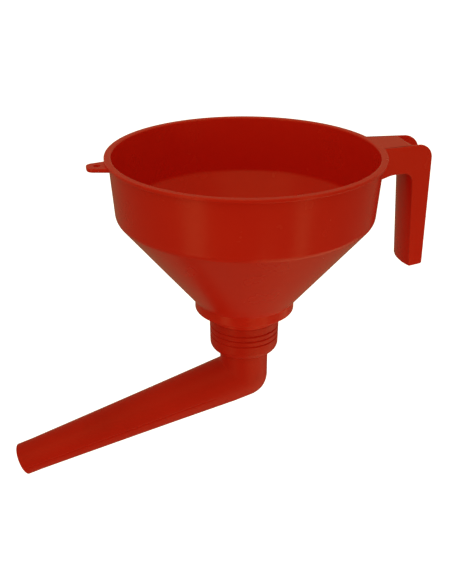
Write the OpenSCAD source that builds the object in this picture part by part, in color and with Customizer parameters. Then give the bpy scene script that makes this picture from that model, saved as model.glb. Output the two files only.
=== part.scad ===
// Fuel funnel: a wide bowl with a channel-section side handle and a hanging eye,
// a lift-out strainer over the outlet, and an angled spout that swivels in a union nut.
// Origin: centre of the rim's top plane, on the bowl's axis.
// +Z is up and +X runs towards the handle. Millimetres.

/* [Bowl] */
// Outer diameter of the rim
rim_d = 240; // [200:5:280]
// Height of the rim's outer lip
rim_lip_h = 3; // [2:0.2:8]
// How far the rim's lip stands out from the wall below it
rim_overhang = 3.4; // [1:0.2:6]
// Height of the steep upper wall, from the rim's top to the corner above the cone
wall_h = 52.5; // [30:0.5:80]
// How much smaller the wall's radius is at the corner than under the rim
wall_draft = 3.7; // [0:0.1:10]
// Wall thickness of the bowl
wall_t = 2.5; // [1.5:0.1:4]
// Depth of the cone's lower end below the rim
cone_end_z = 136; // [100:1:180]
// Outer radius of the cone's lower end, which is also the strainer seat's
seat_r = 45; // [35:0.5:60]

/* [Outlet] */
// Height of the strainer seat's straight collar
seat_h = 9; // [5:0.5:20]
// Thickness of the seat's floor
seat_floor_t = 2.5; // [1.5:0.1:5]
// Outer radius of the neck's shoulder, above the union nut
shoulder_r = 32; // [28:0.5:40]
// Height of the neck's shoulder
shoulder_h = 9.6; // [4:0.2:20]
// Outer radius of the neck's spigot, inside the union nut
spigot_r = 27.5; // [22:0.5:32]
// Height of the neck's spigot
spigot_h = 15.4; // [8:0.2:25]
// Radius of the neck's bore
bore_r = 22; // [15:0.5:25]

/* [Strainer] */
// Outer radius of the strainer's frame
strainer_r = 41.3; // [30:0.1:55]
// Height of the strainer's frame
strainer_h = 5; // [3:0.5:10]
// Width of the frame's ring
strainer_ring_w = 5; // [3:0.5:10]
// Thickness of the gauze disc
gauze_t = 0.6; // [0.3:0.1:1.2]
// Width of the finger bar across the frame
finger_bar_w = 6; // [4:0.5:12]

/* [Union nut] */
// Outer radius of the nut at its top
nut_r = 32; // [28:0.5:40]
// Outer radius of the nut just above its rounded bottom
nut_low_r = 31.2; // [27:0.1:40]
// Height of the nut
nut_h = 32; // [20:0.5:50]
// Radius of the nut's rounded bottom edge
nut_round_r = 8; // [1:0.5:10]
// Number of ring grooves
groove_count = 3; // [1:1:6]
// Spacing of the ring grooves
groove_pitch = 5.2; // [3:0.1:8]
// Depth of each ring groove
groove_depth = 1.1; // [0.4:0.1:2]
// Width of each ring groove at its mouth
groove_w = 2.2; // [0.8:0.1:3]

/* [Spout] */
// Direction of the spout about the bowl's axis, from the handle, in degrees
spout_turn = 171.6; // [0:0.1:359]
// Slope of the spout below the horizontal, in degrees
spout_droop = 21.7; // [5:0.1:60]
// Depth of the elbow's centre below the rim
elbow_z = 216; // [200:1:240]
// Length of the spout from the elbow's centre to its tip
spout_l = 231; // [120:1:300]
// Outer radius of the elbow
elbow_r = 22.2; // [18:0.1:28]
// Outer radius of the spout's tip
tip_r = 15.6; // [9:0.1:20]
// Length of the straight land at the tip
tip_land_l = 14; // [8:1:40]
// Wall thickness of the spout
spout_t = 2.2; // [1.5:0.1:4]

/* [Handle] */
// Reach of the handle's outer face from the bowl's axis
handle_reach = 165.8; // [150:0.2:190]
// Depth of the grip's lower end below the rim
grip_end_z = 115; // [80:1:140]
// Height of the arm between the rim's top and the finger arch
arm_h = 24.5; // [15:0.5:40]
// Half width of the handle at the rim
handle_root_w = 20.8; // [12:0.1:30]
// Half width of the handle at its outer face
handle_end_w = 15.6; // [10:0.1:30]
// Thickness of the handle's flanges, web and top plate
handle_t = 3; // [2:0.1:5]
// How far the grip's palm face bulges between its edges
palm_bulge = 2.5; // [0.5:0.1:4]
// Radius of the handle's outer top corner
handle_corner_r = 13; // [4:0.5:20]

/* [Hanging eye] */
// Reach of the eye from the bowl's axis
eye_reach = 135.2; // [128:0.2:150]
// Half width of the eye at the rim
eye_root_w = 11.5; // [8:0.5:25]
// Half width of the eye at its end
eye_end_w = 7; // [5:0.2:20]
// Depth of the eye's top face below the rim
eye_z = 2.3; // [0.2:0.1:5]
// Thickness of the eye's tab
eye_t = 3.4; // [2:0.1:6]
// Radius of the hanging hole
eye_hole_r = 3; // [2:0.1:5]
// Distance of the hanging hole from the bowl's axis
eye_hole_x = 126.4; // [122:0.2:140]

/* [Hidden] */
$fn = 96;

rim_r = rim_d / 2;
wall_top_r = rim_r - rim_overhang;
corner_r = wall_top_r - wall_draft;
split_z = -(wall_h + 10);
seat_in_r = seat_r - 3;
seat_bottom_z = -(cone_end_z + seat_h);
shoulder_z = seat_bottom_z - shoulder_h;
spigot_z = shoulder_z - spigot_h;
seal_t = 2.4;
flange_t = 3.4;
washer_t = 1.4;
gap = 0.2;
seal_z = spigot_z - gap / 2;
flange_z = seal_z - seal_t;
washer_z = flange_z - flange_t - gap;
nut_lip_z = washer_z - washer_t - gap;
nut_top_z = shoulder_z - 0.3;
nut_bottom_z = nut_top_z - nut_h;
tube_r = elbow_r + 0.5;
collar_z = -197;
split_l = 32;
slim = (elbow_r - tip_r) / (spout_l - tip_land_l);

// The arc that rounds corner b of the path a, b, c with radius r, as n + 1 points
function unit(v) = v / norm(v);
function arc(a, b, c, r, n = 6) =
    let (u = unit(a - b), w = unit(c - b), h = acos(u * w) / 2,
         m = b + unit(u + w) * r / sin(h), s = b + u * r / tan(h), e = b + w * r / tan(h),
         t0 = atan2(s.y - m.y, s.x - m.x), d0 = atan2(e.y - m.y, e.x - m.x) - t0,
         d = d0 > 180 ? d0 - 360 : d0 < -180 ? d0 + 360 : d0)
    [for (i = [0:n]) m + r * [cos(t0 + d * i / n), sin(t0 + d * i / n)]];

// A path with every corner [x, y, r] rounded by its own r; r = 0 keeps the corner sharp
function rounded(p) = [for (i = [0:len(p) - 1])
    let (q = [p[i].x, p[i].y], a = p[(i + len(p) - 1) % len(p)], c = p[(i + 1) % len(p)])
    each p[i].z > 0 ? arc([a.x, a.y], q, [c.x, c.y], p[i].z) : [q]];

// Bowl: radius and height of the whole wall's section, rim to strainer seat
cone_a = atan2(corner_r - seat_r, cone_end_z - wall_h);
cone_dr = wall_t / cos(cone_a);
corner_in_r = corner_r - wall_t;
corner_in_z = -(wall_h - wall_t * tan((90 - cone_a) / 2) * 0.55);
bowl_section = rounded([
    [wall_top_r - wall_t, 0, 1.2], [rim_r, 0, 0.8], [rim_r, -rim_lip_h, 0.9],
    [wall_top_r, -rim_lip_h, 1], [corner_r, -wall_h, 8], [seat_r, -cone_end_z, 0],
    [seat_r - cone_dr, -cone_end_z, 0], [corner_in_r, corner_in_z, 6.5]]);

// Solid inside of the bowl's outer surface, used to trim what is moulded onto it
module bowl_trim() {
    rotate_extrude() polygon(rounded([[0, 1, 0], [rim_r - 0.01, 1, 0],
        [rim_r - 0.01, -rim_lip_h, 0.9], [wall_top_r, -rim_lip_h, 1], [corner_r, -wall_h, 0],
        [corner_r - 20, -wall_h - 25, 0], [0, -wall_h - 25, 0]]));
}

module bowl_wall() {
    color([0.60, 0.11, 0.06]) rotate_extrude() intersection() {
        polygon(bowl_section);
        translate([50, split_z]) square([rim_r, -split_z + 1]);
    }
}

module bowl_cone() {
    color([0.60, 0.12, 0.06]) rotate_extrude() intersection() {
        polygon(bowl_section);
        translate([20, -cone_end_z - 1]) square([rim_r, cone_end_z + 1 + split_z]);
    }
}

// Strainer seat, shoulder and spigot; the nut's thread runs on the spigot
module outlet_neck() {
    floor_z = seat_bottom_z + seat_floor_t;
    color([0.58, 0.11, 0.05]) rotate_extrude() polygon(rounded([
        [seat_r, -cone_end_z, 0], [seat_r, seat_bottom_z, 0.8],
        [shoulder_r, seat_bottom_z, 0], [shoulder_r, shoulder_z, 0.5],
        [spigot_r, shoulder_z, 0], [spigot_r, spigot_z, 0.6], [bore_r, spigot_z, 0.6],
        [bore_r, floor_z, 1.5], [seat_in_r, floor_z, 0.8], [seat_in_r, -cone_end_z, 0]]));
}

// Outline of a flange, seen from the side: the arm, the finger arch and the grip
handle_outline = rounded([
    [100, 0, 0], [handle_reach, 0, handle_corner_r], [handle_reach, -grip_end_z + 1, 2],
    [152.2, -grip_end_z, 2], [147.4, -arm_h, 9], [128, -arm_h, 24], [100, -arm_h - 9, 0]]);
// Section of the top plate and the web that closes the grip on the bowl's side
web_outline = rounded([
    [100, 0, 0], [147, 0, 3], [150.2, -arm_h, 20], [155.2, -grip_end_z, 1],
    [152.2, -grip_end_z, 1], [147.2, -arm_h, 20], [144.4, -handle_t, 1.5], [100, -handle_t, 0]]);

// Vertical wedge between the flanges' faces, shrunk by inset on each side
module handle_wedge(inset) {
    slope = (handle_root_w - handle_end_w) / (handle_reach - rim_r);
    w0 = handle_root_w + slope * 20 - inset;
    w1 = handle_end_w - slope * 5 - inset;
    translate([0, 0, -grip_end_z - 5]) linear_extrude(grip_end_z + 10)
        polygon([[rim_r - 20, -w0], [handle_reach + 5, -w1], [handle_reach + 5, w1], [rim_r - 20, w0]]);
}

module side_extrude(outline) {
    rotate([90, 0, 0]) translate([0, 0, -40]) linear_extrude(80) polygon(outline);
}

// Crown of the palm face: a slice of a large cylinder that leans with the web
module palm_crown() {
    half_w = handle_root_w - 3.6;
    r = (half_w * half_w + palm_bulge * palm_bulge) / (2 * palm_bulge);
    intersection() {
        translate([152.2, 0, -grip_end_z]) rotate([0, -atan2(5, grip_end_z - arm_h), 0])
            translate([r - palm_bulge, 0, -10]) cylinder(r = r, h = grip_end_z + 20, $fn = 360);
        side_extrude([[147, -grip_end_z], [153.4, -grip_end_z], [148.4, -arm_h],
                      [146.3, -1.5], [141, -1.5], [142, -arm_h]]);
        handle_wedge(0.5);
    }
}

module carrying_handle() {
    color([0.60, 0.14, 0.08]) difference() {
        union() {
            intersection() {
                side_extrude(handle_outline);
                difference() { handle_wedge(0); handle_wedge(handle_t); }
            }
            intersection() { side_extrude(web_outline); handle_wedge(0.5); }
            palm_crown();
        }
        bowl_trim();
    }
}

module hanging_eye() {
    color([0.60, 0.14, 0.08]) difference() {
        translate([0, 0, -eye_z - eye_t]) linear_extrude(eye_t) polygon(rounded([
            [-110, eye_root_w + 1, 0], [-rim_r - 3, eye_root_w - 1.4, 6],
            [-eye_reach, eye_end_w, 6], [-eye_reach, -eye_end_w, 6],
            [-rim_r - 3, -eye_root_w + 1.4, 6], [-110, -eye_root_w - 1, 0]]));
        translate([-eye_hole_x, 0, -10]) cylinder(r = eye_hole_r, h = 20);
        bowl_trim();
    }
}

// Strainer: a flat ring with a finger bar, and a gauze disc held in a groove of the ring
module strainer_frame() {
    z0 = seat_bottom_z + seat_floor_t + gap / 2;
    in_r = strainer_r - strainer_ring_w;
    color([0.75, 0.62, 0.35]) difference() {
        union() {
            translate([0, 0, z0]) cylinder(r = strainer_r, h = strainer_h);
        }
        difference() {
            translate([0, 0, z0 - 1]) cylinder(r = in_r, h = strainer_h + 2);
            translate([-finger_bar_w / 2, -in_r - 1, z0 + strainer_h - 2])
                cube([finger_bar_w, 2 * in_r + 2, 2]);
        }
        translate([0, 0, z0 + 1]) cylinder(r = in_r + 2, h = gauze_t);
    }
}

module strainer_gauze() {
    z0 = seat_bottom_z + seat_floor_t + gap / 2;
    color([0.78, 0.66, 0.38]) translate([0, 0, z0 + 1])
        cylinder(r = strainer_r - strainer_ring_w + 2, h = gauze_t);
}

// Union nut: ring grooves outside, a smooth bore over the spigot, a lip under the washer
module union_nut() {
    function at(z) = nut_r - (nut_r - nut_low_r) * (nut_top_z - z) / nut_h;
    first = nut_top_z - 7;
    grooves = [for (i = [0:groove_count - 1]) let (z = first - i * groove_pitch) each
        [[at(z), z + groove_w / 2, 0.5], [at(z) - groove_depth, z, 0.4],
         [at(z), z - groove_w / 2, 0.5]]];
    color([0.58, 0.11, 0.05]) rotate_extrude() polygon(rounded(concat(
        [[nut_r, nut_top_z, 0.8]], grooves,
        [[nut_low_r, nut_bottom_z, nut_round_r - 1], [tube_r + 0.7, nut_bottom_z, 0],
         [tube_r + 0.7, nut_lip_z, 0], [spigot_r + 0.6, nut_lip_z, 0],
         [spigot_r + 0.6, nut_top_z, 0.4]])));
}

module flat_ring(z_top, r_out, r_in, t) {
    translate([0, 0, z_top - t]) difference() {
        cylinder(r = r_out, h = t);
        translate([0, 0, -1]) cylinder(r = r_in, h = t + 2);
    }
}

module slip_washer() {
    color([0.85, 0.85, 0.82]) flat_ring(washer_z, spigot_r, tube_r + 0.6, washer_t);
}

module seal_ring() {
    color([0.08, 0.08, 0.08]) flat_ring(seal_z, spigot_r - 0.3, bore_r, seal_t);
}

// Places its children at the elbow's centre with +Z along the spout
module along_spout() {
    translate([0, 0, -elbow_z]) rotate([0, 0, spout_turn]) rotate([0, 90 + spout_droop, 0]) children();
}

// Spout's outer surface from l0 to l1 along it, shrunk by inset
module spout_cone(l0, l1, inset) {
    translate([0, 0, l0])
        cylinder(r1 = elbow_r - slim * l0 - inset, r2 = elbow_r - slim * l1 - inset, h = l1 - l0);
}

// Outer radius of the upright part at height z
function upright_r(z) = elbow_r + (tube_r - elbow_r) * (z + elbow_z) / (elbow_z + flange_z);

// Spout's outer surface of the upright part from z0 to z1, shrunk by inset
module upright_cone(z0, z1, inset) {
    translate([0, 0, z0]) cylinder(r1 = upright_r(z0) - inset, r2 = upright_r(z1) - inset, h = z1 - z0);
}

// Flange under the seal and the upright tube that comes out of the nut
module spout_collar() {
    color([0.58, 0.11, 0.05]) difference() {
        union() {
            translate([0, 0, flange_z - flange_t]) cylinder(r = spigot_r - 0.2, h = flange_t);
            upright_cone(collar_z, flange_z, 0);
        }
        upright_cone(collar_z - 1, flange_z + 1, spout_t);
    }
}

// Bend below the collar, as far as split_l along the spout
module spout_elbow() {
    color([0.58, 0.11, 0.05]) difference() {
        union() {
            upright_cone(-elbow_z, flange_z - 1, 0);
            translate([0, 0, -elbow_z]) sphere(r = elbow_r + 0.15);
            along_spout() spout_cone(0, split_l, 0);
        }
        upright_cone(-elbow_z, flange_z + 1, spout_t);
        translate([0, 0, -elbow_z]) sphere(r = elbow_r + 0.15 - spout_t);
        along_spout() spout_cone(0, split_l + 1, spout_t);
        translate([0, 0, collar_z]) cylinder(r = 2 * elbow_r, h = 60);
    }
}

module spout_tube() {
    land = spout_l - tip_land_l;
    color([0.58, 0.11, 0.05]) along_spout() difference() {
        union() {
            spout_cone(split_l, land, 0);
            translate([0, 0, land]) cylinder(r = tip_r, h = tip_land_l);
        }
        spout_cone(split_l - 1, land, spout_t);
        translate([0, 0, land - 0.5]) cylinder(r = tip_r - spout_t, h = tip_land_l + 1);
    }
}

bowl_wall();
bowl_cone();
outlet_neck();
carrying_handle();
hanging_eye();
strainer_frame();
strainer_gauze();
union_nut();
slip_washer();
seal_ring();
spout_collar();
spout_elbow();
spout_tube();
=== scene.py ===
import math

import bpy
import numpy as np
from bpy.props import FloatProperty, FloatVectorProperty, IntProperty, PointerProperty
from mathutils import Matrix, Vector


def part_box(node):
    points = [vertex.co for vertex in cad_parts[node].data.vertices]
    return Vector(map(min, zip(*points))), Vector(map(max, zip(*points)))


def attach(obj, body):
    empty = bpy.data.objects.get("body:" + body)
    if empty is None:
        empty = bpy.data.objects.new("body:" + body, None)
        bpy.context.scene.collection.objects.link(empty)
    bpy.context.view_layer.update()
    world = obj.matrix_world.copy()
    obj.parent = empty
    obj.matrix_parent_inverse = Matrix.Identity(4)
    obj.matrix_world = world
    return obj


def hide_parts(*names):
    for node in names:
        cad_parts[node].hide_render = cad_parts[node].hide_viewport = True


bl_info = {
    "name": "Moulded Fuel Funnel",
    "version": (1, 0, 0),
    "blender": (4, 5, 0),
    "location": "3D View > Sidebar > Funnel",
    "description": "Builds a moulded funnel with a side handle, strainer, union nut and swivelling spout",
    "category": "Add Mesh",
}

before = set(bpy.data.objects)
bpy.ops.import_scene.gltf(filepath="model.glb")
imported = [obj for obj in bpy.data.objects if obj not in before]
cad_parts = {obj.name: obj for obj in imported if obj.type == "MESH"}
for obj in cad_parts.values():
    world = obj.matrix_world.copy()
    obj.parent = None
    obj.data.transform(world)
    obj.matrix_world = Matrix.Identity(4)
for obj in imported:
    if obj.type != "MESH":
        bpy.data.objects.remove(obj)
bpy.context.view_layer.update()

MM = 0.001
TURN = 2 * math.pi


# ---------------------------------------------------------------- sizes and colours


def length(name, description, default):
    """A length property in metres."""
    return FloatProperty(name=name, description=description, default=default, unit="LENGTH", precision=4)


def angle(name, description, default):
    """An angle property, given in degrees."""
    return FloatProperty(name=name, description=description, default=math.radians(default), unit="ROTATION")


def colour(name, description, default):
    """A colour property in scene linear values."""
    return FloatVectorProperty(
        name=name, description=description, default=default, subtype="COLOR", size=3, min=0, max=1)


RIM_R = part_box("bowl_wall")[1].x
CONE_END = -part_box("bowl_cone")[0].z
SEAT_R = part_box("outlet_neck")[1].x
SPIGOT_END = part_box("outlet_neck")[0].z
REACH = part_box("carrying_handle")[1].x
GRIP_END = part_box("carrying_handle")[0].z
NUT_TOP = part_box("union_nut")[1].z
NUT_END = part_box("union_nut")[0].z
NUT_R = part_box("union_nut")[1].x
FLANGE_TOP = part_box("spout_collar")[1].z
EYE_REACH = -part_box("hanging_eye")[0].x


class BowlSizes(bpy.types.PropertyGroup):
    rim_r: length("Rim radius", "Outer radius of the rim", round(RIM_R, 3))
    lip_h: length("Lip height", "Height of the rim's outer lip", 0.003)
    overhang: length("Lip overhang", "How far the lip stands out from the wall", 0.0034)
    wall_h: length("Wall height", "Height of the steep upper wall", 0.0525)
    draft: length("Wall draft", "How much the wall narrows from the lip to the corner", 0.0037)
    wall_t: length("Wall thickness", "Thickness of the moulded wall", 0.0025)
    cone_end: length("Cone depth", "Depth of the cone's lower end below the rim", round(CONE_END, 4))
    segments: IntProperty(name="Segments", description="Steps round the axis", default=224, min=24)


class OutletSizes(bpy.types.PropertyGroup):
    seat_r: length("Seat radius", "Outer radius of the strainer seat", round(SEAT_R, 4))
    seat_h: length("Seat height", "Height of the seat's straight collar", 0.009)
    shoulder_r: length("Shoulder radius", "Radius of the neck above the nut", 0.032)
    spigot_r: length("Spigot radius", "Radius of the threaded spigot", 0.0275)
    bore_r: length("Bore radius", "Radius of the neck's bore", 0.022)
    thread_pitch: length("Thread pitch", "Rise of the nut's thread in one turn", 0.004)
    thread_h: length("Thread height", "Height of the thread's crest", 0.0004)


class StrainerSizes(bpy.types.PropertyGroup):
    ring_r: length("Frame radius", "Outer radius of the strainer's frame", 0.0413)
    ring_w: length("Frame width", "Width of the frame's ring", 0.005)
    ring_h: length("Frame height", "Height of the frame", 0.005)
    bar_w: length("Bar width", "Width of the finger bar", 0.006)
    wire_gap: length("Wire spacing", "Distance from one gauze wire to the next", 0.0015)
    wire_r: length("Wire radius", "Radius of a gauze wire", 0.00022)


class NutSizes(bpy.types.PropertyGroup):
    top_r: length("Top radius", "Outer radius of the nut at its top", round(NUT_R, 4))
    low_r: length("Low radius", "Outer radius above the rounded bottom", 0.0312)
    bottom_round: length("Bottom round", "Radius of the rounded bottom edge", 0.007)
    groove_count: IntProperty(name="Grooves", description="Number of ring grooves", default=3, min=0)
    groove_pitch: length("Groove spacing", "Distance from one groove to the next", 0.0052)
    groove_depth: length("Groove depth", "Depth of each ring groove", 0.0011)
    groove_w: length("Groove width", "Width of each ring groove at its mouth", 0.0018)


class SpoutSizes(bpy.types.PropertyGroup):
    turn: angle("Direction", "Direction of the spout about the bowl's axis", 171.6)
    droop: angle("Slope", "Slope of the spout below the horizontal", 21.7)
    elbow_z: length("Elbow height", "Height of the elbow's centre", -0.216)
    elbow_r: length("Elbow radius", "Outer radius of the tube at the elbow", 0.0222)
    inside_round: length("Inner round", "Radius of the bend's inner corner", 0.003)
    reach: length("Length", "Length from the elbow's centre to the tip", 0.231)
    tip_r: length("Tip radius", "Outer radius of the tip", 0.0156)
    land: length("Tip land", "Length of the straight land at the tip", 0.014)
    wall_t: length("Wall thickness", "Thickness of the spout's wall", 0.0022)
    seam_drop: angle("Parting line drop", "How far below the middle the mould's parting line runs", 9)


class HandleSizes(bpy.types.PropertyGroup):
    reach: length("Reach", "Distance of the outer face from the bowl's axis", round(REACH, 4))
    grip_end: length("Grip end", "Height of the grip's lower end", round(GRIP_END, 4))
    arm_h: length("Arm depth", "Depth of the arm above the finger arch", 0.0245)
    root_w: length("Root half width", "Half width of the handle at the rim", 0.0208)
    end_w: length("End half width", "Half width of the handle at its outer face", 0.0156)
    skin: length("Thickness", "Thickness of the flanges, web and plate", 0.003)
    corner_r: length("Corner radius", "Radius of the outer top corner", 0.013)
    edge_r: length("Edge radius", "Radius of the moulded edges", 0.0007)
    palm_bulge: length("Palm bulge", "How far the grip's palm face bulges between its edges", 0.0025)


class EyeSizes(bpy.types.PropertyGroup):
    reach: length("Reach", "Distance of the eye's end from the bowl's axis", round(EYE_REACH, 4))
    root_w: length("Root half width", "Half width of the eye at the rim", 0.0115)
    end_w: length("End half width", "Half width of the eye at its end", 0.007)
    depth: length("Depth", "Depth of the tab's top face below the rim", 0.0023)
    thick: length("Thickness", "Thickness of the tab", 0.0034)
    hole_r: length("Hole radius", "Radius of the hanging hole", 0.003)
    hole_x: length("Hole distance", "Distance of the hole from the bowl's axis", 0.1264)


class Finishes(bpy.types.PropertyGroup):
    red: colour("Red plastic", "Colour of the moulded polyethylene", (0.80, 0.0165, 0.0080))
    red_pale: colour("Pale red", "Colour of the plastic where it is thin or rubbed", (0.84, 0.0230, 0.0095))
    # A darker copy of the bowl's red: painted shade on the spout and the nut, which hang low under the bowl.
    spout_red_painted_shade: colour("Spout and nut plastic", "Colour of the spout's and the nut's mouldings", (0.60, 0.0120, 0.0055))
    frame_black: colour("Frame plastic", "Colour of the strainer's frame", (0.012, 0.012, 0.013))
    brass: colour("Brass wire", "Colour of the gauze", (0.60, 0.42, 0.16))
    nylon: colour("Nylon", "Colour of the slip washer", (0.62, 0.61, 0.55))
    rubber: colour("Rubber", "Colour of the seal ring", (0.012, 0.012, 0.012))
    floor: colour("Floor", "Colour of the studio floor", (0.90, 0.90, 0.90))


# ---------------------------------------------------------------- profiles and surfaces


def rounded(points, steps=7, support=0.0003):
    """A closed outline with its corners rounded, from rows [x, y, radius], all in metres.
    Each corner is an arc that touches both its sides, and every straight side gets a point
    close to each end, so that smooth shading stays flat along it."""
    p = np.array([q[:2] for q in points], float)
    r = np.array([q[2] for q in points], float)
    out = []
    for i in range(len(p)):
        a, b, c = p[i - 1], p[i], p[(i + 1) % len(p)]
        u, w = (a - b) / np.linalg.norm(a - b), (c - b) / np.linalg.norm(c - b)
        half = math.acos(float(np.clip(u @ w, -1, 1))) / 2
        reach = r[i] / math.tan(half) if r[i] > 0 else 0.0
        if r[i] > 0:
            m = b + (u + w) / np.linalg.norm(u + w) * r[i] / math.sin(half)
            s, e = b + u * reach - m, b + w * reach - m
            t0 = math.atan2(s[1], s[0])
            d = (math.atan2(e[1], e[0]) - t0 + math.pi) % TURN - math.pi
            n = steps if r[i] < 0.006 else steps * 3
            t = t0 + d * np.linspace(0, 1, n + 1)
            arc = m + r[i] * np.stack([np.cos(t), np.sin(t)], 1)
        else:
            arc = b[None]
        out += [b + u * (reach + support), *arc, b + w * (reach + support)]
    return np.array(out)


def filled(outline, step):
    """The closed outline with points added so that no side is longer than step."""
    nxt = np.roll(outline, -1, 0)
    parts = [
        a + (b - a) * np.linspace(0, 1, max(1, math.ceil(np.linalg.norm(b - a) / step)), endpoint=False)[:, None]
        for a, b in zip(outline, nxt)
    ]
    return np.concatenate(parts)


def grid_faces(rows, cols, close_rows, close_cols):
    """Corner numbers of the quads of a grid, going round where it is closed."""
    i = np.arange(rows if close_rows else rows - 1)[:, None]
    j = np.arange(cols if close_cols else cols - 1)[None]
    i2, j2 = (i + 1) % rows, (j + 1) % cols
    quads = np.stack([i * cols + j, i2 * cols + j, i2 * cols + j2, i * cols + j2], -1)
    return quads.reshape(-1, 4)


def outward(verts, quads):
    """True if the quads' signed volume is positive, which is so when their faces point outwards."""
    a, b, c, d = (verts[quads[:, k]] for k in range(4))
    return float(np.einsum("ij,ij->", a, np.cross(b, c)) + np.einsum("ij,ij->", a, np.cross(c, d))) > 0


def to_mesh(name, parts, sharp=38):
    """One object from parts, each (points of shape n x 3, quads, caps); a cap is a list of rings of
    point numbers that close the part. Faces are turned to point outwards, part by part."""
    verts, faces, start = [], [], 0
    for points, quads, caps in parts:
        quads = np.asarray(quads)
        flip = not outward(points - points.mean(0), quads)
        if flip:
            quads = quads[:, ::-1]
        faces += (quads + start).tolist()
        faces += [[n + start for n in (ring[::-1] if flip else ring)] for ring in caps]
        verts.append(points)
        start += len(points)
    mesh = bpy.data.meshes.new(name)
    mesh.from_pydata(np.concatenate(verts).tolist(), [], faces)
    mesh.update()
    mesh.polygons.foreach_set("use_smooth", np.ones(len(mesh.polygons), bool))
    mesh.set_sharp_from_angle(angle=math.radians(sharp))
    obj = bpy.data.objects.new(name, mesh)
    bpy.context.scene.collection.objects.link(obj)
    return obj


def revolved(section, segments, change=None):
    """A ring with that closed section of (radius, height): each section point goes round the z axis.
    change(radius, height, turn) may give a new radius, which is how a thread is cut."""
    turn = np.linspace(0, TURN, segments, endpoint=False)[None]
    r = np.broadcast_to(section[:, :1], (len(section), segments))
    z = np.broadcast_to(section[:, 1:], r.shape)
    if change:
        r = change(r, z, turn)
    points = np.stack([r * np.cos(turn), r * np.sin(turn), z], -1).reshape(-1, 3)
    return points, grid_faces(len(section), segments, True, True), []


def slab(outline, thick, edge, place):
    """A flat plate with that closed outline and rounded edges. The outline moves inwards by
    edge * (1 - sin t) while its depth goes by edge * (1 - cos t), on both faces, and place(points, depth)
    puts it in space."""
    ahead = np.roll(outline, -1, 0) - outline
    ahead /= np.maximum(np.linalg.norm(ahead, axis=1, keepdims=True), 1e-12)
    along = ahead + np.roll(ahead, 1, 0)
    along /= np.linalg.norm(along, axis=1, keepdims=True)
    inward = np.stack([-along[:, 1], along[:, 0]], 1)
    area = np.sum(outline[:, 0] * np.roll(outline[:, 1], -1) - outline[:, 1] * np.roll(outline[:, 0], -1))
    inward *= 1 if area > 0 else -1
    t = np.linspace(0, math.pi / 2, 6)
    inset = np.concatenate([[edge + 0.0003], edge * (1 - np.sin(t))])
    depth = np.concatenate([[0], edge * (1 - np.cos(t))])
    inset = np.concatenate([inset, inset[::-1]])
    depth = np.concatenate([depth, thick - depth[::-1]])
    flat = outline[None] + inward[None] * inset[:, None, None]
    points = place(flat, depth[:, None] + np.zeros(flat.shape[:2])).reshape(-1, 3)
    n, rings = len(outline), len(inset)
    first, last = list(range(n)), list(range((rings - 1) * n, rings * n))
    return points, grid_faces(rings, n, False, True), [first, last[::-1]]


# ---------------------------------------------------------------- materials


class Nodes:
    """Short ways to add and join shader nodes."""

    def __init__(self, name):
        self.material = bpy.data.materials.new(name)
        self.material.use_nodes = True
        self.tree = self.material.node_tree
        self.shader = self.tree.nodes["Principled BSDF"]
        where = self.add("ShaderNodeTexCoord")
        self.place = where.outputs["Object"]

    def add(self, kind, **settings):
        node = self.tree.nodes.new(kind)
        for key, value in settings.items():
            setattr(node, key, value)
        return node

    def join(self, out, to):
        self.tree.links.new(out, to)

    def noise(self, scale, detail=3.0, stretch=(1, 1, 1), roughness=0.5):
        """Noise of that many features a metre."""
        moved = self.add("ShaderNodeMapping")
        moved.inputs["Scale"].default_value = stretch
        self.join(self.place, moved.inputs["Vector"])
        noise = self.add("ShaderNodeTexNoise")
        noise.inputs["Scale"].default_value = scale
        noise.inputs["Detail"].default_value = detail
        noise.inputs["Roughness"].default_value = roughness
        self.join(moved.outputs["Vector"], noise.inputs["Vector"])
        return noise.outputs["Fac"]

    def spread(self, value, low, high, to_low, to_high):
        """value from low..high carried to to_low..to_high."""
        node = self.add("ShaderNodeMapRange")
        for key, number in (("From Min", low), ("From Max", high), ("To Min", to_low), ("To Max", to_high)):
            node.inputs[key].default_value = number
        self.join(value, node.inputs["Value"])
        return node.outputs["Result"]

    def mix(self, fac, a, b):
        """The colour a where fac is 0 and b where it is 1; each is a colour or an output."""
        node = self.add("ShaderNodeMix", data_type="RGBA")
        self.join(fac, node.inputs["Factor"])
        for socket, value in ((node.inputs[6], a), (node.inputs[7], b)):
            if isinstance(value, bpy.types.NodeSocket):
                self.join(value, socket)
            else:
                socket.default_value = (*value, 1)
        return node.outputs[2]

    def bump(self, height, strength, distance, under=None):
        node = self.add("ShaderNodeBump")
        node.inputs["Strength"].default_value = strength
        node.inputs["Distance"].default_value = distance
        self.join(height, node.inputs["Height"])
        if under is not None:
            self.join(under, node.inputs["Normal"])
        return node.outputs["Normal"]


def moulded_plastic(name, deep, pale, rough=(0.20, 0.29), specular=0.25, stretch=(1, 1, 1)):
    """Moulded polyethylene: broad, faint changes of red from the flow of the melt, a satin skin whose
    gloss varies, a fine orange-peel texture and a few rubbed, slightly paler places."""
    n = Nodes(name)
    broad = n.spread(n.noise(9, 2, stretch), 0.35, 0.65, 0, 1)
    flow = n.spread(n.noise(60, 4, stretch), 0.3, 0.7, 0, 0.6)
    middle = tuple((a + b) / 2 for a, b in zip(deep, pale))
    tone = n.mix(broad, deep, middle)
    tone = n.mix(flow, tone, middle)
    specks = n.spread(n.noise(700, 2), 0.62, 0.8, 0, 0.35)
    n.join(n.mix(specks, tone, pale), n.shader.inputs["Base Color"])
    n.join(n.spread(n.noise(35, 5), 0.3, 0.7, *rough), n.shader.inputs["Roughness"])
    peel = n.bump(n.noise(420, 2), 0.12, 0.0004)
    n.join(n.bump(n.noise(2600, 3), 0.10, 0.00012, peel), n.shader.inputs["Normal"])
    n.shader.inputs["Specular IOR Level"].default_value = specular
    n.shader.inputs["Specular Tint"].default_value = (1.0, 0.72, 0.45, 1)
    return n.material


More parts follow.
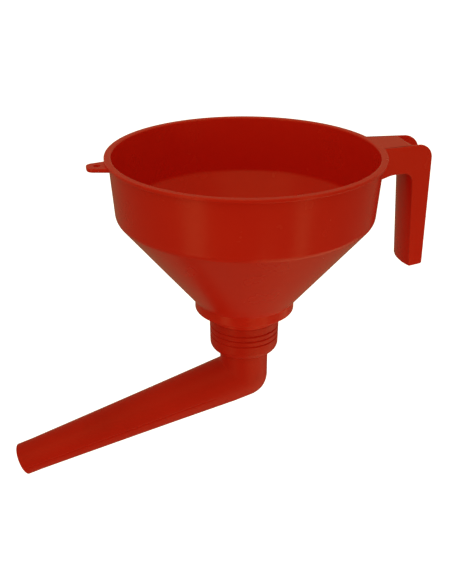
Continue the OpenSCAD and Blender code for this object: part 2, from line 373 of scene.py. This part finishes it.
def brass_wire(name, tone):
    """Drawn brass: metallic, with slight tarnish that darkens and dulls it in patches."""
    n = Nodes(name)
    tarnish = n.spread(n.noise(120, 4), 0.4, 0.7, 0, 1)
    dark = tuple(c * 0.55 for c in tone)
    n.join(n.mix(tarnish, tone, dark), n.shader.inputs["Base Color"])
    n.join(n.spread(n.noise(300, 3), 0.3, 0.7, 0.25, 0.5), n.shader.inputs["Roughness"])
    n.shader.inputs["Metallic"].default_value = 1.0
    return n.material


def plain_polymer(name, tone, rough, grain):
    """Rubber or nylon: an even tone with a faint mottling and a fine grain."""
    n = Nodes(name)
    mottle = n.spread(n.noise(150, 4), 0.3, 0.7, 0, 1)
    pale = tuple(min(1.0, c * 1.35 + 0.004) for c in tone)
    n.join(n.mix(mottle, tone, pale), n.shader.inputs["Base Color"])
    n.join(n.spread(n.noise(400, 3), 0.3, 0.7, rough - 0.06, rough + 0.06), n.shader.inputs["Roughness"])
    n.join(n.bump(n.noise(3000, 2), grain, 0.0002), n.shader.inputs["Normal"])
    return n.material


def red_plastic():
    """The one red plastic of the bowl moulding, made once."""
    made = bpy.data.materials.get("red_polyethylene")
    if made:
        return made
    look = bpy.context.scene.funnel_finish
    return moulded_plastic("red_polyethylene", tuple(look.red), tuple(look.red_pale))


def finish_piece(obj, material, body, slot, *nodes):
    """Gives the piece its material and its body, and hides the nodes that it stands for."""
    obj.data.materials.append(material)
    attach(obj, body)
    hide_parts(*nodes)


# ---------------------------------------------------------------- the moulding


def bowl_numbers(s):
    """Wall radius under the lip, corner radius, cone angle and the wall's width across the cone."""
    top = s.rim_r - s.overhang
    corner = top - s.draft
    seat = bpy.context.scene.funnel_outlet.seat_r
    slope = math.atan2(corner - seat, s.cone_end - s.wall_h)
    return top, corner, seat, slope, s.wall_t / math.cos(slope)


def wall_radius(z):
    """Outer radius of the steep wall at height z."""
    s = bpy.context.scene.funnel_bowl
    top, corner = s.rim_r - s.overhang, s.rim_r - s.overhang - s.draft
    return top + (top - corner) * z / s.wall_h


class FUNNEL_OT_bowl(bpy.types.Operator):
    """Rim, steep wall and cone, as one section carried round the axis"""

    bl_idname = "funnel.bowl"
    bl_label = "Bowl"

    def execute(self, context):
        s = context.scene.funnel_bowl
        top, corner, seat, slope, across = bowl_numbers(s)
        inside_z = -(s.wall_h - s.wall_t * math.tan((math.pi / 2 - slope) / 2) * 0.55)
        section = rounded([
            [top - s.wall_t, 0, 0.0013], [s.rim_r, 0, 0.0008], [s.rim_r, -s.lip_h, 0.0009],
            [top, -s.lip_h, 0.001], [corner, -s.wall_h, 0.008], [seat, -s.cone_end, 0],
            [seat - across, -s.cone_end, 0], [corner - s.wall_t, inside_z, 0.0065]])
        bowl = to_mesh("bowl", [revolved(filled(section, 0.004), s.segments)])
        finish_piece(bowl, red_plastic(), "funnel_body", "red_bowl", "bowl_wall", "bowl_cone")
        return {"FINISHED"}


def thread(r, z, turn, wall, low, high, pitch, height, sign):
    """Radius with a helical thread on the wall: sign * height * max(0, cos(turn + 2 pi z / pitch)) to the
    power 0.7, on points at the wall's radius between low and high, fading out at both ends."""
    on = np.abs(r - wall) < 1e-5
    fade = np.clip((z - low) / (pitch / 2), 0, 1) * np.clip((high - z) / (pitch / 2), 0, 1)
    wave = np.maximum(0, np.cos(TURN * z / pitch - turn)) ** 0.7
    return r + np.where(on, sign * height * wave * fade, 0)


class FUNNEL_OT_outlet_neck(bpy.types.Operator):
    """Strainer seat, shoulder and threaded spigot under the cone"""

    bl_idname = "funnel.outlet_neck"
    bl_label = "Outlet neck"

    def execute(self, context):
        s, o = context.scene.funnel_bowl, context.scene.funnel_outlet
        seat_z = -s.cone_end - o.seat_h
        floor_z, shoulder_z = seat_z + 0.0025, seat_z - 0.0096
        low = round(SPIGOT_END, 4)
        section = rounded([
            [o.seat_r, -s.cone_end, 0], [o.seat_r, seat_z, 0.0009], [o.shoulder_r, seat_z, 0.0008],
            [o.shoulder_r, shoulder_z, 0.0003], [o.spigot_r, shoulder_z, 0.0003],
            [o.spigot_r, low, 0.0006], [o.bore_r, low, 0.0006], [o.bore_r, floor_z, 0.0015],
            [o.seat_r - 0.003, floor_z, 0.0008], [o.seat_r - 0.003, -s.cone_end, 0]])
        cut = lambda r, z, turn: thread(
            r, z, turn, o.spigot_r, low + 0.0012, shoulder_z - 0.0012, o.thread_pitch, o.thread_h, 1)
        neck = to_mesh("outlet_neck", [revolved(filled(section, 0.0005), 160, cut)], 45)
        finish_piece(neck, red_plastic(), "funnel_body", "red_bowl", "outlet_neck")
        return {"FINISHED"}


def handle_half_width(h, x, rim_r):
    """Half width of the handle at distance x: it falls in a straight line from the rim to the outer face."""
    return h.root_w + (h.end_w - h.root_w) * (x - rim_r) / (h.reach - rim_r)


def meet_rim(x, y, rim_r):
    """x moved towards the axis near the rim, so that a straight edge across the handle follows the rim's circle."""
    bow = (rim_r - 0.0006) - np.sqrt((rim_r - 0.0006) ** 2 - y**2)
    return x - bow * np.clip((rim_r + 0.014 - x) / 0.014, 0, 1)


def stay_in_wall(x, y, z):
    """x kept from going through the wall: the root ends halfway into its thickness."""
    return np.maximum(x, np.sqrt((wall_radius(np.minimum(z, 0)) - 0.0012) ** 2 - y**2))


class FUNNEL_OT_carrying_handle(bpy.types.Operator):
    """Open channel handle: two flanges, a top plate and a web on the bowl's side"""

    bl_idname = "funnel.carrying_handle"
    bl_label = "Carrying handle"

    def execute(self, context):
        h, rim_r = context.scene.funnel_handle, context.scene.funnel_bowl.rim_r
        end, arm = h.grip_end, -h.arm_h
        side = filled(rounded([
            [0.100, -0.0006, 0], [rim_r - 0.0008, -0.0006, 0], [rim_r - 0.0004, 0, 0],
            [h.reach, 0, h.corner_r], [h.reach, end + 0.001, 0.002], [0.1522, end, 0.0012],
            [0.1474, arm, 0.009], [0.128, arm, 0.024], [0.100, arm - 0.009, 0]]), 0.004)

        def flange(sign):
            def place(flat, depth):
                x, z = flat[..., 0], flat[..., 1]
                y = handle_half_width(h, x, rim_r) - depth
                x = stay_in_wall(meet_rim(x, y, rim_r), y, z)
                return np.stack([x, sign * (handle_half_width(h, x, rim_r) - depth), z], -1)

            return slab(side, h.skin, h.edge_r, place)

        web = filled(rounded([
            [0.100, -0.0006, 0], [rim_r - 0.0008, -0.0006, 0], [rim_r - 0.0004, 0, 0],
            [0.147, 0, 0.003], [0.1502, arm, 0.020], [0.1552, end, 0.0008], [0.1522, end, 0.0008],
            [0.1472, arm, 0.020], [0.1444, -h.skin, 0.0015], [0.100, -h.skin, 0]]), 0.003)
        across = np.linspace(-1, 1, 25)[:, None]
        x0, z0 = web[None, :, 0] + 0 * across, web[None, :, 1] + 0 * across
        y = across * (handle_half_width(h, x0, rim_r) - h.skin / 2)
        x = stay_in_wall(meet_rim(x0, y, rim_r), y, z0)
        palm_top, palm_end, web_half = 0.1472, 0.1522, 0.0015
        lean = (palm_end - palm_top) / (arm - end)
        palm = x0 < palm_top + web_half + (arm - z0) * lean
        bulge = h.palm_bulge * (1 - np.abs(across) ** 2.4) * np.clip((-h.skin - z0) / (-h.skin - arm), 0, 1)
        points = np.stack([x - np.where(palm, bulge, 0), y, z0], -1).reshape(-1, 3)
        n = len(web)
        caps = [list(range(n)), list(range(24 * n, 25 * n))[::-1]]
        plate = (points, grid_faces(25, n, False, True), caps)
        handle = to_mesh("carrying_handle", [flange(1), flange(-1), plate])
        finish_piece(handle, red_plastic(), "funnel_body", "red_bowl", "carrying_handle")
        return {"FINISHED"}


class FUNNEL_OT_hanging_eye(bpy.types.Operator):
    """Flat tab opposite the handle, with a hole for a hook"""

    bl_idname = "funnel.hanging_eye"
    bl_label = "Hanging eye"

    def execute(self, context):
        e, rim_r = context.scene.funnel_eye, context.scene.funnel_bowl.rim_r
        outline = filled(rounded([
            [-0.1147, e.root_w + 0.0006, 0], [-rim_r - 0.003, e.root_w - 0.0014, 0.006],
            [-e.reach, e.end_w, 0.006], [-e.reach, -e.end_w, 0.006],
            [-rim_r - 0.003, -e.root_w + 0.0014, 0.006], [-0.1147, -e.root_w - 0.0006, 0]]), 0.0015)
        bearing = np.arctan2(outline[:, 1], outline[:, 0] + e.hole_x)
        hole = np.stack([e.hole_r * np.cos(bearing) - e.hole_x, e.hole_r * np.sin(bearing)], 1)
        t = np.linspace(0, math.pi / 2, 6)
        edge = 0.0007
        inset, depth = edge * (1 - np.sin(t)), edge * (1 - np.cos(t))
        inset = np.concatenate([[edge + 0.0003], inset, inset[::-1], [edge + 0.0003]])
        depth = np.concatenate([[0], depth, e.thick - depth[::-1], [e.thick]])
        out = outline - np.array([-e.hole_x, 0])
        far = np.linalg.norm(out, axis=1, keepdims=True)
        rims = outline[None] - (out / far)[None] * inset[:, None, None]
        away = (hole - np.array([-e.hole_x, 0])) / e.hole_r
        bores = hole[None] + away[None] * inset[:, None, None]
        flat = np.concatenate([rims, bores[::-1]])
        z = -e.depth - np.concatenate([depth, depth[::-1]])
        points = np.concatenate([flat, np.broadcast_to(z[:, None, None], (*flat.shape[:2], 1))], -1)
        tab = (points.reshape(-1, 3), grid_faces(len(flat), len(outline), True, True), [])
        eye = to_mesh("hanging_eye", [tab])
        finish_piece(eye, red_plastic(), "funnel_body", "red_bowl", "hanging_eye")
        return {"FINISHED"}


# ---------------------------------------------------------------- loose pieces


class FUNNEL_OT_strainer(bpy.types.Operator):
    """Loose strainer: a ring with a finger bar, and a woven gauze disc"""

    bl_idname = "funnel.strainer"
    bl_label = "Strainer"

    def execute(self, context):
        s, look = context.scene.funnel_strainer, context.scene.funnel_finish
        z0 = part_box("strainer_frame")[0].z
        inner = s.ring_r - s.ring_w
        ring = revolved(filled(rounded([
            [s.ring_r, z0, 0.0006], [s.ring_r, z0 + s.ring_h, 0.0012],
            [inner, z0 + s.ring_h, 0.0010], [inner, z0, 0.0005]]), 0.003), 144)
        bar = slab(filled(rounded([
            [-s.bar_w / 2, -inner - 0.001, 0], [s.bar_w / 2, -inner - 0.001, 0],
            [s.bar_w / 2, inner + 0.001, 0], [-s.bar_w / 2, inner + 0.001, 0]]), 0.004), 0.002, 0.0006,
            lambda flat, depth: np.stack([flat[..., 0], flat[..., 1], z0 + s.ring_h - 0.0002 - depth], -1))
        holder = to_mesh("strainer_frame", [ring, bar])
        finish_piece(holder, moulded_plastic("black_plastic", tuple(look.frame_black),
            tuple(3 * c for c in look.frame_black), (0.4, 0.5), 0.4), "strainer", "strainer_plastic", "strainer_frame")
        gauze = to_mesh("strainer_gauze", self.wires(s, inner + 0.0012, z0 + 0.0013))
        finish_piece(gauze, brass_wire("brass_wire", tuple(look.brass)), "strainer", "brass_gauze", "strainer_gauze")
        return {"FINISHED"}

    def wires(self, s, reach, z0):
        """Plain weave: wire k runs along one axis at k * gap, and its height is wire_r * cos(pi * (u / gap + k)),
        so that it goes over one crossing wire and under the next; its length is the disc's chord there."""
        count = int(reach / s.wire_gap)
        places = np.arange(-count, count + 1) * s.wire_gap
        chord = np.sqrt(reach**2 - places**2)
        sides, steps = 5, 96
        u = chord[:, None] * np.linspace(-1, 1, steps)[None]
        k = np.arange(-count, count + 1)[:, None]
        lift = s.wire_r * np.cos(np.pi * (u / s.wire_gap + k))
        around = np.arange(sides) * TURN / sides
        parts = []
        for turned in (False, True):
            height = z0 + (-lift if turned else lift)[..., None] + s.wire_r * np.sin(around)
            side = places[:, None, None] + s.wire_r * np.cos(around) + 0 * height
            along = u[..., None] + 0 * height
            points = np.stack([side, along, height] if turned else [along, side, height], -1)
            parts += [self.closed_wire(p, steps, sides) for p in points]
        return parts

    @staticmethod
    def closed_wire(points, steps, sides):
        """One wire's grid, with a cap on each end."""
        caps = [list(range(sides))[::-1], list(range((steps - 1) * sides, steps * sides))]
        flat = points.reshape(-1, 3)
        quads = grid_faces(steps, sides, False, True)
        return flat, quads, caps


class FUNNEL_OT_union_nut(bpy.types.Operator):
    """Union nut: ring grooves round its outside, a rounded bottom and an inner thread"""

    bl_idname = "funnel.union_nut"
    bl_label = "Union nut"

    def execute(self, context):
        n, o = context.scene.funnel_nut, context.scene.funnel_outlet
        top, end = NUT_TOP + 0.0002, NUT_END
        at = lambda z: n.top_r - (n.top_r - n.low_r) * (top - z) / (top - end)
        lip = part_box("slip_washer")[0].z - 0.0002
        bore, hole = o.spigot_r + 0.0006, 0.0234
        grooves = []
        for i in range(n.groove_count):
            z = top - 0.0072 - i * n.groove_pitch
            grooves += [[at(z), z + n.groove_w / 2, 0.0004], [at(z) - n.groove_depth, z, 0.0003],
                        [at(z), z - n.groove_w / 2, 0.0004]]
        section = rounded([[n.top_r, top, 0.00035], *grooves, [n.low_r, end, n.bottom_round],
            [hole, end, 0.0004], [hole, lip, 0.0004], [bore, lip, 0.0004], [bore, top, 0.0006]], 7, 0.00012)
        cut = lambda r, z, turn: thread(
            r, z, turn, bore, lip + 0.004, top - 0.001, o.thread_pitch, o.thread_h, 1)
        nut = to_mesh("union_nut", [revolved(filled(section, 0.0006), 160, cut)], 50)
        look = context.scene.funnel_finish
        # The nut's base red is the darker copy of the bowl's red, as painted shade.
        finish_piece(nut, moulded_plastic("red_nut_plastic_painted_shade", tuple(look.spout_red_painted_shade), tuple(look.red),
            (0.30, 0.40), 0.20), "union_nut", "red_nut", "union_nut")
        return {"FINISHED"}


class FUNNEL_OT_seals(bpy.types.Operator):
    """Slip washer and seal ring, inside the nut"""

    bl_idname = "funnel.seals"
    bl_label = "Washer and seal"

    def execute(self, context):
        look = context.scene.funnel_finish
        for node, body, slot, edge, material in (
            ("slip_washer", "slip_washer", "washer_plastic", 0.0003,
                plain_polymer("nylon", tuple(look.nylon), 0.4, 0.1)),
            ("seal_ring", "spout", "seal_rubber", 0.0007,
                plain_polymer("black_rubber", tuple(look.rubber), 0.6, 0.3)),
        ):
            low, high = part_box(node)
            inner = 0.0233 if node == "slip_washer" else 0.0220
            section = rounded([[high.x, low.z, edge], [high.x, high.z, edge],
                [inner, high.z, edge], [inner, low.z, edge]])
            ring = to_mesh(node, [revolved(filled(section, 0.002), 128)])
            finish_piece(ring, material, body, slot, node)
        return {"FINISHED"}


# ---------------------------------------------------------------- spout


def spout_axes(s):
    """Direction of the spout, the level direction above it and the level direction across the bend."""
    level = np.array([math.cos(s.turn), math.sin(s.turn), 0.0])
    along = level * math.cos(s.droop) - np.array([0, 0, math.sin(s.droop)])
    side = np.array([-math.sin(s.turn), math.cos(s.turn), 0.0])
    return along, level, side


def bend_rings(s, skin, steps):
    """Rings of the elbow, skin inside the outer surface. Each ring lies in a plane that turns about a line
    on the bend's inner side; it is two half ellipses of the tube's radius across the bend. The inner half
    ends on a small round about that line, the outer half on the ball of the tube's radius round the elbow's
    centre, or on the straight tubes beyond it."""
    along, level, side = spout_axes(s)
    r = s.elbow_r - skin
    down = np.array([0, 0, -1.0])
    bend = math.acos(float(down @ along))
    inner = s.inside_round + skin
    centre = np.array([0, 0, s.elbow_z])
    inwards = (along - down) / np.linalg.norm(along - down)
    pivot = centre + inwards * (r + inner) / math.cos(bend / 2)
    a = np.linspace(0, bend, steps)[:, None]
    out = -(level * np.cos(a) + np.array([0, 0, 1.0]) * np.sin(a))
    from_pivot = pivot - centre
    mid = a - bend / 2
    to_axis = (r + inner) / np.cos(np.where(mid < 0, a, bend - a))
    b = out @ from_pivot
    ball = -b + np.sqrt(np.maximum(b**2 - from_pivot @ from_pivot + r**2, 0))
    line = (2 * r + inner) / np.cos(np.where(mid < 0, a, bend - a))
    hit = pivot + out * line[:, 0:1]
    beyond = (hit - centre) @ down
    past = (hit - centre) @ along
    on_tube = np.where(mid[:, 0] < 0, beyond < 0, past > 0)
    far = np.where(on_tube, line[:, 0], ball)
    return pivot + out * to_axis, out, side, to_axis[:, 0] - inner, far - to_axis[:, 0], np.full(steps, r)


def ring_points(centres, out, side, near, far, wide, around):
    """Points of the rings: centre + (near or far) * cos(t) * out + wide * sin(t) * side, where far is taken
    on the bend's outer half, cos(t) > 0, and near on its inner half."""
    c, s = np.cos(around)[None], np.sin(around)[None]
    reach = np.where(c > 0, far[:, None], near[:, None])
    return centres[:, None] + out[:, None] * (reach * c)[..., None] + side * (wide[:, None] * s)[..., None]


class FUNNEL_OT_spout(bpy.types.Operator):
    """Angled spout: flange, upright tube, tight elbow and long tapered tube, outside and bore"""

    bl_idname = "funnel.spout"
    bl_label = "Spout"

    def execute(self, context):
        s, look = context.scene.funnel_spout, context.scene.funnel_finish
        along, level, side = spout_axes(s)
        even = np.linspace(0, TURN, 144, endpoint=False)
        line = math.pi / 2 - s.seam_drop
        steps = np.array([-0.09, -0.07, -0.053, -0.038, -0.025, -0.012, 0.0, 0.012, 0.025, 0.038, 0.053, 0.07, 0.09])
        away = np.minimum(np.abs(even - line), np.abs(TURN - even - line))
        around = np.sort(np.concatenate([even[away > 0.11], line + steps, TURN - line + steps]))
        tube_r = s.elbow_r + 0.0005
        flange_r = 0.0273

        def upright(rz):
            """Rings of the upright part from rows of radius and height."""
            rz = np.asarray(rz, float)
            n = len(rz)
            centres = np.stack([np.zeros(n), np.zeros(n), rz[:, 1]], 1)
            return ring_points(centres, np.tile(-level, (n, 1)), side, rz[:, 0], rz[:, 0], rz[:, 0], around)

        def sloped(rl):
            """Rings of the sloped tube from rows of radius and distance from the elbow's centre."""
            rl = np.asarray(rl, float)
            out = -(level * math.sin(s.droop) + np.array([0, 0, math.cos(s.droop)]))
            centres = np.array([0, 0, s.elbow_z]) + rl[:, 1:] * along
            return ring_points(centres, np.tile(out, (len(rl), 1)), side, rl[:, 0], rl[:, 0], rl[:, 0], around)

        def elbow(skin):
            centres, out, across, near, far, wide = bend_rings(s, skin, 28)
            return ring_points(centres, out, across, near, far, wide, around)

        pull = (s.elbow_r - s.tip_r) / (s.reach - s.land)
        down = np.array([0, 0, -1.0])
        bend = math.acos(float(down @ along))

        def start():
            """Distance from the elbow's centre at which the bend's rings end, the same for both skins."""
            return (s.elbow_r + s.inside_round) * math.tan(bend / 2)

        def taper(skin, first, last, n):
            l = np.linspace(first, last, n)
            blend = pull * first * (1 - (l - first) / (last - first)) ** 3
            return np.stack([np.maximum(s.elbow_r - pull * l, s.tip_r) - skin + blend, l], 1)

        edge = np.linspace(0, math.pi / 2, 6)
        tip_out = np.stack([s.tip_r - 0.0007 * (1 - np.cos(edge)), s.reach - 0.0007 * (1 - np.sin(edge))], 1)
        tip_in = np.stack([s.tip_r - s.wall_t + 0.0005 * (1 - np.sin(edge)), s.reach - 0.0005 * (1 - np.cos(edge))], 1)
        top = FLANGE_TOP
        low = top - 0.0034
        first = start()
        outer_top = rounded([[tube_r - s.wall_t, top, 0.0004], [flange_r, top, 0.0005], [flange_r, low, 0.0005],
            [tube_r, low, 0.0004], [tube_r, low - 0.02, 0], [tube_r - s.wall_t, low - 0.02, 0]], 5, 0.0002)
        keep = outer_top[(outer_top[:, 1] > low - 0.003)]
        high_z, low_z = low - 0.0032, s.elbow_z + first + 0.0006
        z = np.linspace(high_z, low_z, 8)
        fall = np.stack([tube_r + (s.elbow_r - tube_r) * (high_z - z) / (high_z - low_z), z], 1)
        rings = np.concatenate([
            upright(keep),
            upright(fall),
            elbow(0.0),
            sloped(taper(0, first + 0.0006, s.reach - 0.0014, 60)),
            sloped(tip_out), sloped(tip_in),
            sloped(taper(s.wall_t, first + 0.0006, s.reach - 0.0014, 50)[::-1]),
            elbow(s.wall_t)[::-1],
            upright(fall[::-1] - np.array([s.wall_t, 0])),
        ])
        rings = self.seam(rings, np.minimum(np.abs(around - line), np.abs(TURN - around - line)), s, along)
        spout = to_mesh("spout", [(rings.reshape(-1, 3), grid_faces(len(rings), len(around), True, True), [])], 40)
        # The spout's base red is the darker copy of the bowl's red, as painted shade; its rougher, less shiny skin is
        # the moulding's own.
        finish_piece(spout, moulded_plastic("red_spout_plastic_painted_shade", tuple(look.spout_red_painted_shade),
            tuple(look.red), (0.36, 0.46), 0.18),
            "spout", "red_spout", "spout_collar", "spout_elbow", "spout_tube")
        return {"FINISHED"}

    @staticmethod
    def seam(rings, apart, s, along):
        """The mould's parting line: on the sloped tube's outside the surface dips by depth * exp(-(d / width)^2)
        along a line on each side, where d is the distance from the line round the tube."""
        centre = np.array([0, 0, s.elbow_z])
        l = (rings - centre) @ along
        axis = centre + l[..., None] * along
        away = rings - axis
        dist = np.linalg.norm(away, axis=-1)
        expected = s.elbow_r - (s.elbow_r - s.tip_r) / (s.reach - s.land) * l
        begin, fade, depth, width = 0.030, 0.010, 0.0005, 0.0007
        outside = (dist > expected - s.wall_t / 2) & (l > begin) & (l < s.reach - 0.001)
        off = apart[None] * dist
        dip = depth * np.exp(-((off / width) ** 2)) * np.clip((l - begin) / fade, 0, 1)
        return rings - away / dist[..., None] * (np.where(outside, dip, 0))[..., None]


# ---------------------------------------------------------------- studio


class StudioSettings(bpy.types.PropertyGroup):
    camera_turn: angle("Camera direction", "Direction of the camera's view, from +Y", -14.01)
    camera_tilt: angle("Camera tilt", "How far the camera looks down", 25.6)
    camera_height: length("Camera height", "Height of the camera above the rim", 0.223)
    camera_distance: length("Camera distance", "Level distance from the bowl's axis to the camera", 0.7402)
    camera_left: length("Camera offset", "How far the camera stands to the left of the axis", 0.01676)
    lens: FloatProperty(name="Lens", description="Focal length in millimetres on a 36 mm long side", default=55.48)
    floor_z: length("Floor height", "Height of the studio floor", -1.3)
    backdrop_r: length("Backdrop radius", "Radius of the white backdrop round the studio", 15.0)
    floor_glow: FloatProperty(name="Floor glow", description="Light given off by the lit acrylic floor", default=1.02)
    horizon: FloatProperty(name="Horizon", description="Brightness of the surround at the horizon", default=0.5)
    room: FloatProperty(name="Room", description="Brightness of the surround above and below the horizon", default=0.19)
    dome: FloatProperty(name="Dome", description="Extra brightness of the surround overhead", default=0.20)
    warmth: colour("Light colour", "Colour of the surround and the softboxes", (1.0, 0.95, 0.5))
    strip_power: FloatProperty(name="Strip power", description="Power of each tall softbox in watts", default=1.95)
    key_power: FloatProperty(
        name="Key power", description="Power of the large softbox above the camera in watts", default=2.55)
    top_power: FloatProperty(name="Top power", description="Power of the overhead softbox in watts", default=1.3)
    low_power: FloatProperty(name="Low power", description="Power of the softbox below the bowl in watts", default=3.5)


class FUNNEL_OT_studio(bpy.types.Operator):
    """Camera, pale floor and soft lights"""

    bl_idname = "funnel.studio"
    bl_label = "Studio"

    def execute(self, context):
        s = context.scene.funnel_studio
        scene = context.scene
        turn = Matrix.Rotation(s.camera_turn, 4, "Z")
        camera = bpy.data.objects.new("camera", bpy.data.cameras.new("camera"))
        camera.data.lens, camera.data.sensor_width = s.lens, 36
        camera.data.clip_end = 200
        camera.location = turn @ Vector((-s.camera_left, -s.camera_distance, s.camera_height))
        look = turn @ Vector((0, math.cos(s.camera_tilt), -math.sin(s.camera_tilt)))
        camera.rotation_mode = "QUATERNION"
        camera.rotation_quaternion = look.to_track_quat("-Z", "Y")
        scene.collection.objects.link(camera)
        scene.camera = camera

        mesh = bpy.data.meshes.new("studio_floor")
        corners = [(40 * x, 40 * y, s.floor_z) for x, y in ((-1, -1), (1, -1), (1, 1), (-1, 1))]
        mesh.from_pydata(corners, [], [(0, 1, 2, 3)])
        floor = bpy.data.objects.new("studio_floor", mesh)
        scene.collection.objects.link(floor)
        n = Nodes("studio_acrylic")
        tone = tuple(scene.funnel_finish.floor)
        paper = n.mix(n.spread(n.noise(0.8, 2), 0.3, 0.7, 0, 1), tone, tuple(c * 0.99 for c in tone))
        n.join(paper, n.shader.inputs["Base Color"])
        n.join(paper, n.shader.inputs["Emission Color"])
        n.shader.inputs["Emission Strength"].default_value = s.floor_glow / tone[0]
        n.shader.inputs["Roughness"].default_value = 1.0
        n.shader.inputs["Specular IOR Level"].default_value = 0.0
        rise, turns = np.linspace(-1.57, 1.57, 48)[:, None], np.linspace(0, TURN, 64, endpoint=False)
        globe = s.backdrop_r * np.stack([np.cos(rise) * np.cos(turns), np.cos(rise) * np.sin(turns),
            np.sin(rise) + 0 * turns], -1)
        dome = to_mesh("studio_backdrop", [(globe.reshape(-1, 3), grid_faces(48, 64, False, True), [])])
        for piece in (floor, dome):
            piece.data.materials.append(n.material)
            piece.visible_glossy = piece.visible_diffuse = False
        dome.visible_shadow = False
        self.surround(scene, s)

        for name, bearing, height, far, wide, tall, power in (
            ("left_strip", -43, -0.35, 1.3, 0.42, 1.7, s.strip_power),
            ("right_strip", 47, -0.35, 1.3, 0.28, 1.7, s.strip_power * 0.67),
            ("key_softbox", -20, 1.2, 0.9, 1.6, 1.6, s.key_power),
            ("overhead_softbox", 180, 1.4, 0.25, 1.2, 1.2, s.top_power),
            ("low_softbox", 62, -1.05, 0.40, 1.0, 1.4, s.low_power),
        ):
            light = bpy.data.lights.new(name, "AREA")
            light.shape, light.size, light.size_y, light.energy = "RECTANGLE", wide, tall, power
            light.color = s.warmth
            lamp = bpy.data.objects.new(name, light)
            a = s.camera_turn + math.radians(bearing)
            lamp.location = Vector((math.sin(a) * far, -math.cos(a) * far, height))
            aim = Vector((0, 0, height if tall > wide else -0.05))
            lamp.rotation_mode = "QUATERNION"
            lamp.rotation_quaternion = (aim - lamp.location).to_track_quat("-Z", "Y")
            scene.collection.objects.link(lamp)
        return {"FINISHED"}

    @staticmethod
    def surround(scene, s):
        """A surround that is bright at the horizon, grey above and below it and brighter again overhead,
        by the direction's slope."""
        world = bpy.data.worlds.new("studio_surround")
        world.use_nodes = True
        tree = world.node_tree
        where = tree.nodes.new("ShaderNodeTexCoord")
        split = tree.nodes.new("ShaderNodeSeparateXYZ")
        slope = tree.nodes.new("ShaderNodeMath")
        slope.operation = "ABSOLUTE"

        def ramp(low, high, at_low, at_high):
            """A map from slopes low..high to the brightness at each end."""
            node = tree.nodes.new("ShaderNodeMapRange")
            for key, number in (("From Min", low), ("From Max", high), ("To Min", at_low), ("To Max", at_high)):
                node.inputs[key].default_value = number
            return node

        spread = ramp(0.09, 0.19, s.horizon, s.room)
        tree.links.new(where.outputs["Generated"], split.inputs[0])
        tree.links.new(split.outputs["Z"], slope.inputs[0])
        tree.links.new(slope.outputs["Value"], spread.inputs["Value"])
        over = ramp(0.40, 0.60, 0.0, s.dome)
        total = tree.nodes.new("ShaderNodeMath")
        tree.links.new(split.outputs["Z"], over.inputs["Value"])
        tree.links.new(spread.outputs["Result"], total.inputs[0])
        tree.links.new(over.outputs["Result"], total.inputs[1])
        tree.links.new(total.outputs["Value"], tree.nodes["Background"].inputs["Strength"])
        tree.nodes["Background"].inputs["Color"].default_value = (*s.warmth, 1)
        scene.world = world
        scene.view_settings.view_transform = "Standard"


# ---------------------------------------------------------------- panel and registration


OPERATORS = (FUNNEL_OT_bowl, FUNNEL_OT_outlet_neck, FUNNEL_OT_carrying_handle, FUNNEL_OT_hanging_eye,
    FUNNEL_OT_strainer, FUNNEL_OT_union_nut, FUNNEL_OT_seals, FUNNEL_OT_spout, FUNNEL_OT_studio)
GROUPS = {"funnel_bowl": BowlSizes, "funnel_outlet": OutletSizes, "funnel_strainer": StrainerSizes,
    "funnel_nut": NutSizes, "funnel_spout": SpoutSizes, "funnel_handle": HandleSizes,
    "funnel_eye": EyeSizes, "funnel_finish": Finishes, "funnel_studio": StudioSettings}


class FUNNEL_PT_pieces(bpy.types.Panel):
    """Lists the funnel's pieces and their settings"""

    bl_idname = "FUNNEL_PT_pieces"
    bl_label = "Funnel"
    bl_space_type = "VIEW_3D"
    bl_region_type = "UI"
    bl_category = "Funnel"

    def draw(self, context):
        for operator in OPERATORS:
            self.layout.operator(operator.bl_idname)
        for name, group in GROUPS.items():
            box = self.layout.box()
            box.label(text=group.__name__)
            for key in group.__annotations__:
                box.prop(getattr(context.scene, name), key)


def register():
    for cls in (*GROUPS.values(), *OPERATORS, FUNNEL_PT_pieces):
        bpy.utils.register_class(cls)
    for name, group in GROUPS.items():
        setattr(bpy.types.Scene, name, PointerProperty(type=group))


def unregister():
    for name in GROUPS:
        delattr(bpy.types.Scene, name)
    for cls in (FUNNEL_PT_pieces, *reversed(OPERATORS), *reversed(tuple(GROUPS.values()))):
        bpy.utils.unregister_class(cls)


def main():
    register()
    bpy.ops.funnel.bowl()
    bpy.ops.funnel.outlet_neck()
    bpy.ops.funnel.carrying_handle()
    bpy.ops.funnel.hanging_eye()
    bpy.ops.funnel.strainer()
    bpy.ops.funnel.union_nut()
    bpy.ops.funnel.seals()
    bpy.ops.funnel.spout()
    bpy.ops.funnel.studio()


if __name__ == "__main__":
    main()
